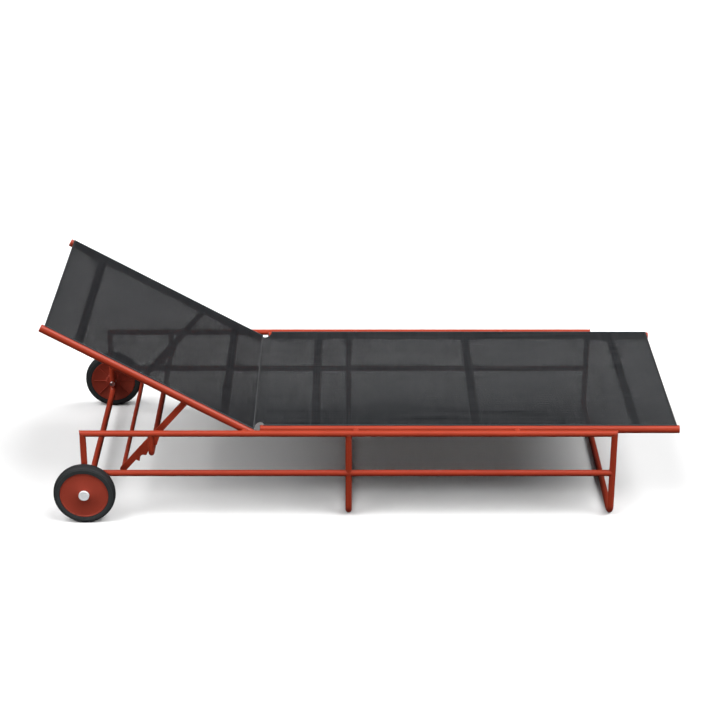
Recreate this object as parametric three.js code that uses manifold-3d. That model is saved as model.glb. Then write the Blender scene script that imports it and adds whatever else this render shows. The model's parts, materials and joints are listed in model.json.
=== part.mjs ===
// Reclining sun lounger: a welded tube base on two wheels, a tube seat and a tube backrest with a
// woven sling, and a notched stay that props the backrest on a catch tube.
// Millimetres, +Z up, head end at -X. Lengthwise stations are counted from the middle legs.
import * as THREE from 'three';
import { mergeVertices } from 'three/addons/utils/BufferGeometryUtils.js';
import Module from 'manifold-3d';

const wasm = await Module();
wasm.setup();

// ---------------------------------------------------------------- driving dimensions
const GAP = 0.3; // air left between neighbouring pieces
const TUBE_SIDES = 20; // facets round a tube
const BORE_SIDES = 10; // facets round a tube's inside and round small holes
const BOLT_SIDES = 12;
const WHEEL_SIDES = 40;
const WALL = 1.5; // tube wall

const BASE_R = 10; // base frame tube
const BASE_Y = 391; // top and lower rails, off the middle plane
const RAIL_Z = 290; // top rails and seat rails
const LOWER_Z = 152; // lower rails
const END_X = 827; // head and foot legs
const BEND_R = 30; // bends of the middle and foot frames
const HEAD_CROSS_Z = 66; // cross tube between the head legs
const HEAD_BEND_R = 24;

const CATCH_X = -616; // tube that the stay's notches drop over
const CATCH_Z = 215;
const CATCH_R = 9;
const CATCH_BEND_R = 22;

const SLING_R = 12.5; // seat and backrest tubes
const SLING_Y = 360;
const SEAT_HEAD_X = -275.5;
const SEAT_FOOT_X = 1030;
const SEAT_BARS_X = [-104, 400, 902];
const SEAT_BOLTS_X = [23, 526];

const HINGE_X = -324; // backrest hinge axis, at the height of the rails
const RECLINE = THREE.MathUtils.degToRad(29.25); // backrest above level, as stored
const BACK_LENGTH = 705; // hinge to the top end of the backrest tubes
const BACK_TAIL = 24.5; // the tubes run on past the hinge
const BACK_BARS = [73, 580]; // distances from the hinge

const BAR_WIDTH = 28; // flat-oval cross bars
const BAR_HEIGHT = 14;
const BAR_DROP = 4; // bars sit this far below the side tubes' axis
const PLATE_LENGTH = 88; // end plates welded to the bars
const PLATE_HEIGHT = 18;
const PLATE_THICK = 3;

const STAY_PIVOT = 199.5; // hinge to stay pivot, along the backrest
const STAY_ANGLE = THREE.MathUtils.degToRad(48.9); // stay below level, as stored
const STAY_LENGTH = 325;
const STAY_HALF = 10; // half the arm's depth
const STAY_THICK = 6;
const STAY_Y = 343.2;
const LINK_R = 7;
// The arm's notched edge, as [distance from the pivot, depth below the arm's middle].
const EDGE_START = [150, STAY_HALF];
const FIRST_TOOTH = [189, 26.5];
const SECOND_TOOTH = [238, 24.2];
const LAST_TOOTH = [269, 21.5];
const EDGE_END = [273, STAY_HALF];
const SPARE_NOTCH = [251.5, 22.5]; // middle of the notch nearer the free end
const ENGAGED_SWEEP = [50, 107]; // degrees of each notch's arc
const SPARE_SWEEP = [15, 120];
const NOTCH_CLEARANCE = 0.6; // round the catch tube

const BOLT_R = 4;
const BOLT_HOLE_R = 4.5;
const BOLT_HEAD_R = 7;
const BOLT_HEAD = 5;
const BOLT_CROWN_R = 4.5; // flat on top of the dome
const BOLT_SHOULDER = 1.5; // height of the dome's widest part
const BOLT_TIP = 4; // bolts end this far short of the base rail's middle
const PIN_TIP = 3; // stay bolts end this far short of the backrest tube's middle

const WHEEL_R = 97.4;
const HUB_R = 76;
const WHEEL_IN_Y = 403.3; // inner side of the wheel
const WHEEL_OUT_Y = 441;
const AXLE_R = 5;
const AXLE_HOLE_R = 5.6;
const BUSH_R = 8;
const CAP_R = 16.5;
const CAP_SEAT_Y = 436;
const CAP_PROUD = 3; // cap face beyond the wheel's outer side
const TYRE_SHOULDER = 8; // radius between side wall and tread
const TYRE_CROWN = 1.5; // tread's rise towards its middle
const HUB_BOSS_R = 22;
const HUB_WEB_R = 26; // the web starts here, outside the boss
const AXLE_HEX_R = 9.2; // across corners, halved: bolt head and nut
const AXLE_HEAD = 6.5;
const AXLE_NUT = 4.6;
const WASHER_R = 11;

const SLING_THICK = 3;
const SLING_HEAD_X = -264; // seat sling, head edge
const SLING_FOOT_X = 1024;
const SLING_LOW = -20; // backrest sling, lower edge, along the backrest from the hinge
const SLING_HIGH = 699;

// ---------------------------------------------------------------- materials
function paint(color, roughness, metalness) {
  return new THREE.MeshStandardMaterial({ color, roughness, metalness });
}
const redPaint = () => paint(0xc0432c, 0.42, 0.1);
const steel = () => paint(0xa9adb0, 0.3, 0.9);
const rubber = () => paint(0x2b2d2d, 0.85, 0);
const redPlastic = () => paint(0xa03a2a, 0.5, 0);
const whitePlastic = () => paint(0xdfe3e4, 0.35, 0);
const blackPlastic = () => paint(0x1c1c1d, 0.6, 0);
const mesh = () => paint(0x35373a, 0.9, 0);

// ---------------------------------------------------------------- solids
function toSolid(geometry) {
  const bare = geometry.clone();
  bare.deleteAttribute('normal');
  bare.deleteAttribute('uv');
  const merged = mergeVertices(bare, 1e-4);
  return new wasm.Manifold(new wasm.Mesh({
    numProp: 3,
    vertProperties: new Float32Array(merged.attributes.position.array),
    triVerts: new Uint32Array(merged.index.array),
  }));
}

function toGeometry(solid) {
  const { vertProperties, triVerts } = solid.getMesh();
  const geometry = new THREE.BufferGeometry();
  geometry.setAttribute('position', new THREE.BufferAttribute(vertProperties, 3));
  geometry.setIndex(new THREE.BufferAttribute(triVerts, 1));
  geometry.computeVertexNormals();
  return geometry;
}

function cut(geometry, ...tools) {
  let solid = toSolid(geometry);
  for (const tool of tools) solid = solid.subtract(toSolid(tool));
  return toGeometry(solid);
}

function join(first, ...others) {
  let solid = toSolid(first);
  for (const other of others) solid = solid.add(toSolid(other));
  return toGeometry(solid);
}

// A cylinder along one axis, between two stations on it, at the given place across it.
function rod(axis, from, to, radius, place, sides = TUBE_SIDES) {
  const geometry = new THREE.CylinderGeometry(radius, radius, to - from, sides);
  const middle = (from + to) / 2;
  if (axis === 'x') return geometry.rotateZ(Math.PI / 2).translate(middle, place[0], place[1]);
  if (axis === 'y') return geometry.translate(place[0], middle, place[1]);
  return geometry.rotateX(Math.PI / 2).translate(place[0], place[1], middle);
}

function pipe(axis, from, to, radius, place) {
  const outside = rod(axis, from, to, radius, place);
  return cut(outside, rod(axis, from - 1, to + 1, radius - WALL, place, BORE_SIDES));
}

function ringOutline(radius, sides) {
  const points = [];
  for (let i = 0; i < sides; i++) {
    const angle = (i / sides) * 2 * Math.PI;
    points.push(new THREE.Vector2(radius * Math.cos(angle), radius * Math.sin(angle)));
  }
  return points;
}

// A route of straight runs and round bends, with stations only where it turns.
class BentRoute extends THREE.Curve {
  constructor(corners, bendRadius, bendSteps = 5) {
    super();
    this.stations = [{ point: corners[0], tangent: corners[1].clone().sub(corners[0]).normalize() }];
    for (let i = 1; i < corners.length - 1; i++) {
      const before = corners[i].clone().sub(corners[i - 1]).normalize();
      const after = corners[i + 1].clone().sub(corners[i]).normalize();
      const centre = corners[i].clone();
      centre.addScaledVector(before, -bendRadius).addScaledVector(after, bendRadius);
      for (let step = 0; step <= bendSteps; step++) {
        const angle = (step / bendSteps) * (Math.PI / 2);
        const point = centre.clone();
        point.addScaledVector(after, -bendRadius * Math.cos(angle));
        point.addScaledVector(before, bendRadius * Math.sin(angle));
        const tangent = before.clone().multiplyScalar(Math.cos(angle));
        tangent.addScaledVector(after, Math.sin(angle));
        this.stations.push({ point, tangent });
      }
    }
    const last = corners[corners.length - 1];
    this.stations.push({ point: last, tangent: last.clone().sub(corners[corners.length - 2]).normalize() });
    this.steps = this.stations.length - 1;
  }

  station(t) {
    return this.stations[Math.round(t * this.steps)];
  }

  getPointAt(t) {
    return this.station(t).point.clone();
  }

  getTangentAt(t) {
    return this.station(t).tangent.clone();
  }
}

// A frame bent from one tube: down one leg, across at crossZ, and up the other leg.
function bentFrame(x, topZ, crossZ, radius, bendRadius) {
  const corners = [[-BASE_Y, topZ], [-BASE_Y, crossZ], [BASE_Y, crossZ], [BASE_Y, topZ]];
  const route = new BentRoute(corners.map(([y, z]) => new THREE.Vector3(x, y, z)), bendRadius);
  const section = new THREE.Shape(ringOutline(radius, TUBE_SIDES));
  section.holes.push(new THREE.Path(ringOutline(radius - WALL, BORE_SIDES).reverse()));
  return new THREE.ExtrudeGeometry(section, { steps: route.steps, extrudePath: route });
}

// Half-space on the far side of the 45 degree mitre between an end leg and the top rails.
function mitreCutter(side, keepLeg) {
  const size = 200;
  const depth = 2 * (BASE_Y + 50);
  const away = keepLeg ? 1 : -1;
  const box = new THREE.BoxGeometry(size, depth, size);
  box.translate((away * (size - GAP)) / 2, 0, 0);
  // Local +X turns to point inward and up, from the leg towards the rail.
  box.rotateY(-Math.PI / 4);
  if (side > 0) box.rotateZ(Math.PI);
  return box.translate(side * END_X, 0, RAIL_Z);
}

// A solid turned about Y from [radius, station] points.
function lathe(profile, sides) {
  return new THREE.LatheGeometry(profile.map(([r, y]) => new THREE.Vector2(r, y)), sides);
}

const model = new THREE.Group();

function add(parent, name, geometry, material) {
  const piece = new THREE.Mesh(geometry, material);
  piece.name = name;
  parent.add(piece);
  return piece;
}

const SIDES = [['left', -1], ['right', 1]];
const across = (side, a, b) => [Math.min(side * a, side * b), Math.max(side * a, side * b)];

// ---------------------------------------------------------------- base frame
function boltHole(side, x) {
  const [from, to] = across(side, BASE_Y - 2 * BASE_R, BASE_Y - 2);
  return rod('y', from, to, BOLT_HOLE_R, [x, RAIL_Z], BORE_SIDES);
}

function topRail(side) {
  const reach = END_X + 2 * BASE_R;
  const rail = pipe('x', -reach, reach, BASE_R, [side * BASE_Y, RAIL_Z]);
  const holes = [HINGE_X, ...SEAT_BOLTS_X].map((x) => boltHole(side, x));
  return cut(rail, mitreCutter(-1, false), mitreCutter(1, false), ...holes);
}

function lowerRail(side, from, to) {
  const legs = [from, to].map((x) => rod('z', 0, RAIL_Z, BASE_R + GAP, [x, side * BASE_Y]));
  return cut(pipe('x', from, to, BASE_R, [side * BASE_Y, LOWER_Z]), ...legs);
}

function topRailCutters() {
  return SIDES.map(([, side]) => rod('x', -END_X, END_X, BASE_R + GAP, [side * BASE_Y, RAIL_Z]));
}

function headFrame() {
  const frame = bentFrame(-END_X, RAIL_Z + 2 * BASE_R, HEAD_CROSS_Z, BASE_R, HEAD_BEND_R);
  const axleHole = rod('y', -WHEEL_OUT_Y, WHEEL_OUT_Y, AXLE_HOLE_R, [-END_X, WHEEL_R], BORE_SIDES);
  return cut(frame, mitreCutter(-1, true), axleHole);
}

function addBase() {
  const base = new THREE.Group();
  for (const [word, side] of SIDES) {
    add(base, `top_rail_${word}`, topRail(side), redPaint());
    add(base, `lower_rail_head_${word}`, lowerRail(side, -END_X, 0), redPaint());
    add(base, `lower_rail_foot_${word}`, lowerRail(side, 0, END_X), redPaint());
  }
  const legTop = RAIL_Z + 2 * BASE_R;
  add(base, 'head_frame', headFrame(), redPaint());
  const middle = bentFrame(0, RAIL_Z, BASE_R, BASE_R, BEND_R);
  add(base, 'middle_frame', cut(middle, ...topRailCutters()), redPaint());
  const foot = bentFrame(END_X, legTop, BASE_R, BASE_R, BEND_R);
  add(base, 'foot_frame', cut(foot, mitreCutter(1, true)), redPaint());
  const catchTube = bentFrame(CATCH_X, RAIL_Z, CATCH_Z, CATCH_R, CATCH_BEND_R);
  add(base, 'catch_frame', cut(catchTube, ...topRailCutters()), redPaint());
  model.add(base);
}

// ---------------------------------------------------------------- tube ends and bolts
// A plug with a flange over the tube's end; outward is +1 or -1 along X.
function tubePlug(outward) {
  const flange = 1.5;
  const stem = 12;
  const stemR = (SLING_R - WALL) * Math.cos(Math.PI / BORE_SIDES) - GAP;
  const profile = [[0, -stem], [stemR, -stem], [stemR, GAP], [SLING_R, GAP], [SLING_R, GAP + flange],
    [0, GAP + flange]];
  return lathe(profile, TUBE_SIDES).rotateZ(outward * -Math.PI / 2);
}

// A button-head bolt along Y, its head inboard at headY and its shank reaching tipY.
function buttonBolt(side, headY, tipY) {
  const dome = [[BOLT_CROWN_R, -BOLT_HEAD], [BOLT_HEAD_R - 0.5, -BOLT_SHOULDER], [BOLT_HEAD_R, 0]];
  const shank = tipY - headY;
  const profile = [[0, -BOLT_HEAD], ...dome, [BOLT_R, 0], [BOLT_R, shank], [0, shank]];
  const bolt = lathe(profile, BOLT_SIDES);
  if (side < 0) bolt.rotateX(Math.PI);
  return bolt.translate(0, side * headY, 0);
}

// A stub between a base rail and the tube beside it; a fixed one is hollowed to fit that tube too.
function spacer(side, x, fixed) {
  const tubeFace = SLING_Y + SLING_R + GAP;
  const [from, to] = across(side, fixed ? SLING_Y : tubeFace, BASE_Y);
  const reach = 2 * BASE_R;
  const tools = [rod('x', x - reach, x + reach, BASE_R + GAP, [side * BASE_Y, RAIL_Z])];
  if (fixed) tools.push(rod('x', x - reach, x + reach, SLING_R + GAP, [side * SLING_Y, RAIL_Z]));
  tools.push(rod('y', from - 1, to + 1, BOLT_HOLE_R, [x, RAIL_Z], BORE_SIDES));
  return cut(rod('y', from, to, BASE_R - 1, [x, RAIL_Z]), ...tools);
}

// ---------------------------------------------------------------- cross bars
// A flat-oval bar across the frame at x with a plate welded to each end, below the sling.
function crossBar(x) {
  const half = BAR_HEIGHT / 2;
  const straight = BAR_WIDTH / 2 - half;
  const oval = new THREE.Shape();
  oval.absarc(straight, 0, half, -Math.PI / 2, Math.PI / 2);
  oval.absarc(-straight, 0, half, Math.PI / 2, 1.5 * Math.PI);
  const plateY = SLING_Y - SLING_R - GAP - PLATE_THICK / 2;
  const settings = { depth: 2 * plateY, bevelEnabled: false, curveSegments: 8 };
  const bar = new THREE.ExtrudeGeometry(oval, settings).translate(0, 0, -plateY).rotateX(Math.PI / 2);
  const boreWiden = 2; // the bore is an ellipse inside the flat oval
  const bore = rod('y', -SLING_Y, SLING_Y, half - WALL, [0, 0], BORE_SIDES).scale(boreWiden, 1, 1);
  const plates = SIDES.map(([, side]) => {
    const plate = new THREE.BoxGeometry(PLATE_LENGTH, PLATE_THICK, PLATE_HEIGHT);
    return plate.translate(0, side * plateY, BAR_DROP);
  });
  return cut(join(bar, ...plates), bore).translate(x, 0, -BAR_DROP);
}

// ---------------------------------------------------------------- seat
function slingTube(from, to, side, holes) {
  const tube = pipe('x', from, to, SLING_R, [side * SLING_Y, 0]);
  return cut(tube, ...holes);
}

function throughHole(side, x, bothWalls) {
  const past = SLING_R + 1;
  const [from, to] = across(side, SLING_Y - past, bothWalls ? SLING_Y + past : SLING_Y);
  return rod('y', from, to, BOLT_HOLE_R, [x, 0], BORE_SIDES);
}

function addSeat() {
  const seat = new THREE.Group();
  seat.position.z = RAIL_Z;
  for (const [word, side] of SIDES) {
    const holes = SEAT_BOLTS_X.map((x) => throughHole(side, x, true));
    add(seat, `seat_rail_${word}`, slingTube(SEAT_HEAD_X, SEAT_FOOT_X, side, holes), redPaint());
    const headPlug = add(seat, `seat_plug_head_${word}`, tubePlug(-1), blackPlastic());
    headPlug.position.set(SEAT_HEAD_X, side * SLING_Y, 0);
    const footPlug = add(seat, `seat_plug_foot_${word}`, tubePlug(1), redPlastic());
    footPlug.position.set(SEAT_FOOT_X, side * SLING_Y, 0);
    SEAT_BOLTS_X.forEach((x, i) => {
      const place = ['head', 'foot'][i];
      add(model, `seat_spacer_${place}_${word}`, spacer(side, x, true), redPaint());
      const bolt = buttonBolt(side, SLING_Y - SLING_R - GAP, BASE_Y - BOLT_TIP);
      add(seat, `seat_bolt_${place}_${word}`, bolt, steel()).position.x = x;
    });
  }
  ['head', 'middle', 'foot'].forEach((place, i) => {
    add(seat, `seat_bar_${place}`, crossBar(SEAT_BARS_X[i]), redPaint());
  });
  const length = SLING_FOOT_X - SLING_HEAD_X;
  const sling = new THREE.BoxGeometry(length, 2 * SLING_Y, SLING_THICK);
  sling.translate(SLING_HEAD_X + length / 2, 0, SLING_R + GAP + SLING_THICK / 2);
  add(seat, 'seat_sling', sling, mesh());
  model.add(seat);
}

// ---------------------------------------------------------------- backrest
// Built level, running towards -X from the hinge, then turned up by RECLINE.
function addBackrest() {
  const backrest = new THREE.Group();
  backrest.position.set(HINGE_X, 0, RAIL_Z);
  backrest.rotation.y = RECLINE;
  for (const [word, side] of SIDES) {
    const holes = [throughHole(side, 0, true), throughHole(side, -STAY_PIVOT, false)];
    add(backrest, `backrest_rail_${word}`, slingTube(-BACK_LENGTH, BACK_TAIL, side, holes), redPaint());
    const topPlug = add(backrest, `backrest_plug_top_${word}`, tubePlug(-1), redPlastic());
    topPlug.position.set(-BACK_LENGTH, side * SLING_Y, 0);
    const tailPlug = add(backrest, `backrest_plug_tail_${word}`, tubePlug(1), redPlastic());
    tailPlug.position.set(BACK_TAIL, side * SLING_Y, 0);
    add(model, `hinge_spacer_${word}`, spacer(side, HINGE_X, false), redPaint());
    const bolt = buttonBolt(side, SLING_Y - SLING_R - GAP, BASE_Y - BOLT_TIP);
    add(backrest, `hinge_bolt_${word}`, bolt, steel());
  }
  ['low', 'high'].forEach((place, i) => {
    add(backrest, `backrest_bar_${place}`, crossBar(-BACK_BARS[i]), redPaint());
  });
  const length = SLING_HIGH - SLING_LOW;
  const sling = new THREE.BoxGeometry(length, 2 * SLING_Y, SLING_THICK);
  sling.translate(-SLING_LOW - length / 2, 0, SLING_R + GAP + SLING_THICK / 2);
  add(backrest, 'backrest_sling', sling, mesh());
  backrest.add(makeStay());
  model.add(backrest);
}

// ---------------------------------------------------------------- stay
// The catch tube's middle as seen from the arm's pivot: a along the arm, and p below its middle.
function catchFromArm() {
  const dx = CATCH_X - (HINGE_X - STAY_PIVOT * Math.cos(RECLINE));
  const dz = CATCH_Z - (RAIL_Z + STAY_PIVOT * Math.sin(RECLINE));
  const a = -dx * Math.cos(STAY_ANGLE) - dz * Math.sin(STAY_ANGLE);
  const p = dx * Math.sin(STAY_ANGLE) - dz * Math.cos(STAY_ANGLE);
  return { a, p };
}

// The arm's outline: a is the distance from its pivot to its free end, and p is below its middle.
function stayArm() {
  const outline = new THREE.Shape();
  const engaged = catchFromArm();
  const grip = CATCH_R + NOTCH_CLEARANCE;
  const rad = THREE.MathUtils.degToRad;
  const to = ([a, p]) => outline.lineTo(-a, -p);
  const notch = ([a, p], [from, till]) => outline.absarc(-a, -p, grip, rad(from), rad(till), false);
  outline.absarc(0, 0, STAY_HALF, Math.PI / 2, -Math.PI / 2, true);
  to(EDGE_START);
  to(FIRST_TOOTH);
  // The engaged notch lies over the catch tube.
  notch([engaged.a, engaged.p], ENGAGED_SWEEP);
  to(SECOND_TOOTH);
  notch(SPARE_NOTCH, SPARE_SWEEP);
  to(LAST_TOOTH);
  to(EDGE_END);
  outline.absarc(-STAY_LENGTH, 0, STAY_HALF, -Math.PI / 2, -1.5 * Math.PI, true);
  outline.closePath();
  const settings = { depth: STAY_THICK, bevelEnabled: false, curveSegments: 10 };
  const plate = new THREE.ExtrudeGeometry(outline, settings);
  plate.translate(0, 0, -STAY_THICK / 2).rotateX(Math.PI / 2);
  return cut(plate, rod('y', -STAY_THICK, STAY_THICK, BOLT_HOLE_R, [0, 0], BORE_SIDES));
}

function makeStay() {
  const stay = new THREE.Group();
  stay.position.x = -STAY_PIVOT;
  stay.rotation.y = -(STAY_ANGLE + RECLINE);
  const inside = STAY_Y - STAY_THICK / 2 - GAP;
  for (const [word, side] of SIDES) {
    const arm = add(stay, `stay_arm_${word}`, stayArm(), redPaint());
    arm.position.y = side * STAY_Y;
    add(stay, `stay_bolt_${word}`, buttonBolt(side, inside, SLING_Y - PIN_TIP), steel());
  }
  add(stay, 'stay_link', pipe('y', -inside, inside, LINK_R, [-STAY_LENGTH, 0]), redPaint());
  return stay;
}

// ---------------------------------------------------------------- wheels
// Every wheel piece is turned about Y on the left-hand and right-hand axle alike; y grows outboard.
function turned(side, profile, sides) {
  const geometry = lathe(profile, sides);
  if (side < 0) geometry.rotateX(Math.PI);
  return geometry;
}

// Flat side walls, round shoulders and a slightly crowned tread.
function tyreProfile() {
  const inner = HUB_R + GAP;
  const wallEdge = 0.5; // the side wall dips this much towards the hub
  const inset = 2;
  const middle = (WHEEL_IN_Y + WHEEL_OUT_Y) / 2;
  const half = (WHEEL_OUT_Y - WHEEL_IN_Y) / 2;
  const shoulderR = WHEEL_R - TYRE_CROWN - TYRE_SHOULDER;
  const shoulderY = half - TYRE_SHOULDER;
  const outerHalf = [[inner, half - inset], [inner + inset, half - wallEdge]];
  const steps = 4;
  for (let i = 0; i <= steps; i++) {
    const angle = (i / steps) * (Math.PI / 2);
    const swell = TYRE_SHOULDER * Math.sin(angle);
    outerHalf.push([shoulderR + swell, shoulderY + TYRE_SHOULDER * Math.cos(angle)]);
  }
  const outboard = outerHalf.map(([r, y]) => [r, middle + y]);
  const inboard = outerHalf.map(([r, y]) => [r, middle - y]);
  return [...inboard, [WHEEL_R, middle], ...outboard.reverse(), inboard[0]];
}

function hubProfile() {
  const bore = BUSH_R + GAP;
  const socket = CAP_R + GAP;
  const rimIn = WHEEL_IN_Y + 1;
  const rimOut = WHEEL_OUT_Y - 3;
  const webIn = WHEEL_IN_Y + 3;
  const webOut = rimOut - 0.5;
  const boss = [[bore, WHEEL_IN_Y], [HUB_BOSS_R, WHEEL_IN_Y], [HUB_WEB_R, webIn]];
  const innerSide = [...boss, [HUB_R - 8, webIn], [HUB_R - 5, rimIn], [HUB_R, rimIn]];
  const outerSide = [[HUB_R, rimOut], [HUB_R - 4, rimOut], [HUB_R - 7, webOut - 1], [socket, webOut]];
  return [...innerSide, ...outerSide, [socket, CAP_SEAT_Y], [bore, CAP_SEAT_Y], innerSide[0]];
}

function hexagon(from, to) {
  return rod('y', from, to, AXLE_HEX_R, [0, 0], 6);
}

function addWheel(word, side) {
  const wheel = new THREE.Group();
  wheel.position.set(-END_X, 0, WHEEL_R);
  const legOut = BASE_Y + BASE_R;
  const legIn = BASE_Y - BASE_R;
  const washer = [[AXLE_HOLE_R, legOut + GAP], [WASHER_R, legOut + GAP], [WASHER_R, WHEEL_IN_Y - GAP],
    [AXLE_HOLE_R, WHEEL_IN_Y - GAP], [AXLE_HOLE_R, legOut + GAP]];
  add(wheel, `axle_washer_${word}`, turned(side, washer, BOLT_SIDES), steel());
  add(wheel, `tyre_${word}`, turned(side, tyreProfile(), WHEEL_SIDES), rubber());
  add(wheel, `hub_${word}`, turned(side, hubProfile(), WHEEL_SIDES), redPlastic());
  const bush = [[AXLE_HOLE_R, WHEEL_IN_Y], [BUSH_R, WHEEL_IN_Y], [BUSH_R, CAP_SEAT_Y],
    [AXLE_HOLE_R, CAP_SEAT_Y], [AXLE_HOLE_R, WHEEL_IN_Y]];
  add(wheel, `wheel_bush_${word}`, turned(side, bush, BOLT_SIDES), blackPlastic());

  const headFace = legIn - GAP;
  const shankEnd = CAP_SEAT_Y + 5;
  const shank = rod('y', headFace - 1, shankEnd, AXLE_R, [0, 0]);
  const bolt = join(hexagon(headFace - AXLE_HEAD, headFace), shank);
  const nutHole = rod('y', CAP_SEAT_Y - 1, shankEnd + 1, AXLE_HOLE_R, [0, 0]);
  const nut = cut(hexagon(CAP_SEAT_Y + GAP, CAP_SEAT_Y + AXLE_NUT), nutHole);
  if (side < 0) {
    bolt.rotateX(Math.PI);
    nut.rotateX(Math.PI);
  }
  add(wheel, `axle_bolt_${word}`, bolt, steel());
  add(wheel, `axle_nut_${word}`, nut, steel());

  const capFace = WHEEL_OUT_Y + CAP_PROUD;
  const capRoom = 11;
  const capTop = 2.5;
  const rounding = 1.5;
  const outside = [[CAP_R, CAP_SEAT_Y + GAP], [CAP_R, capFace - rounding], [CAP_R - rounding, capFace]];
  const inside = [[0, capFace], [0, capFace - capTop], [capRoom, capFace - capTop]];
  const capStart = [capRoom, CAP_SEAT_Y + GAP];
  const cap = [capStart, ...outside, ...inside, capStart];
  add(wheel, `wheel_cap_${word}`, turned(side, cap, TUBE_SIDES), whitePlastic());
  model.add(wheel);
}

// ---------------------------------------------------------------- assembly
addBase();
addSeat();
addBackrest();
for (const [word, side] of SIDES) addWheel(word, side);

// The origin goes under the middle of the object's length, on the ground.
const extent = new THREE.Box3().setFromObject(model, true);
model.position.x = -(extent.min.x + extent.max.x) / 2;
model.position.z = -extent.min.z;

export default model;
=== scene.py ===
"""Looks of the reclining sun lounger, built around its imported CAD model. Metres, +Z up, head end at -X."""
import json
import math

import bmesh
import bpy
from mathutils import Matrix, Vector


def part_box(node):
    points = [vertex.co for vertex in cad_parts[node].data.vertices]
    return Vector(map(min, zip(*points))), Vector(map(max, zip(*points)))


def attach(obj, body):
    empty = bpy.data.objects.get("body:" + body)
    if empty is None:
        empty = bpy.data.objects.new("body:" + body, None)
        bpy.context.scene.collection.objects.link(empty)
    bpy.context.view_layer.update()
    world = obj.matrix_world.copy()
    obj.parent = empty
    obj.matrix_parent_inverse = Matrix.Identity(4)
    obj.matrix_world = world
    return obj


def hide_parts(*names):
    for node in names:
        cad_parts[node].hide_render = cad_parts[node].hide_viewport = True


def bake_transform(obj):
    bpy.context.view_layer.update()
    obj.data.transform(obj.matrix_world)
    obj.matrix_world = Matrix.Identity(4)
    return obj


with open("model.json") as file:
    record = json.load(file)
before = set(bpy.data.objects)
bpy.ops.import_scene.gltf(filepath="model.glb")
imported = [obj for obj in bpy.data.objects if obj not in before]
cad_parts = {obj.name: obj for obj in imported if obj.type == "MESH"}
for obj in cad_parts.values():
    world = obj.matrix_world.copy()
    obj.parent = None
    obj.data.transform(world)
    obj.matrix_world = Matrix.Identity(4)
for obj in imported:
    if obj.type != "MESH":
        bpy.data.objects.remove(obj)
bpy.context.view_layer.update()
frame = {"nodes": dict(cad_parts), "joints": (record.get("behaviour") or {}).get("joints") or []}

MM = 0.001
SIDES = (("left", -1), ("right", 1))
X_AXIS, Y_AXIS, Z_AXIS = Vector((1, 0, 0)), Vector((0, 1, 0)), Vector((0, 0, 1))


# ---------------------------------------------------------------- places read from the frame
joints = {j["name"]: j for j in frame["joints"]}
HINGE = Vector(joints["recline_lower"]["pos_m"])
PIVOT = Vector(joints["stay_fold"]["pos_m"])
RECLINE = math.radians(-joints["recline_lower"]["range_deg"][0])
BACK_UP = Vector((-math.cos(RECLINE), 0, math.sin(RECLINE)))
BACK_OUT = Vector((math.sin(RECLINE), 0, math.cos(RECLINE)))


def span(node, origin, direction):
    """The lowest and highest distance of a CAD node's points from origin along direction."""
    reach = [(v.co - origin).dot(direction) for v in frame["nodes"][node].data.vertices]
    return min(reach), max(reach)


def middle(node, axis):
    """The middle of a CAD node's box along one axis, 0 to 2."""
    low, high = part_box(node)
    return (low[axis] + high[axis]) / 2


def half(node, axis):
    """Half a CAD node's extent along one axis."""
    low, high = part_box(node)
    return (high[axis] - low[axis]) / 2


BASE_R = half("top_rail_left", 1)
BASE_Y = middle("top_rail_right", 1)
RAIL_Z = middle("top_rail_left", 2)
LOWER_Z = middle("lower_rail_foot_left", 2)
HEAD_X = middle("head_frame", 0)
MID_X = middle("middle_frame", 0)
FOOT_X = middle("foot_frame", 0)
CATCH_X = middle("catch_frame", 0)
CATCH_R = half("catch_frame", 0)
SLING_R = half("seat_rail_left", 1)
SLING_Y = middle("seat_rail_right", 1)
BEND_R = 30 * MM
HEAD_BEND_R = 24 * MM
CATCH_BEND_R = 22 * MM
SEAT_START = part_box("seat_rail_left")[0].x
SEAT_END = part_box("seat_rail_left")[1].x
BACK_TAIL, BACK_TOP = span("backrest_rail_left", HINGE, BACK_UP)


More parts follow.
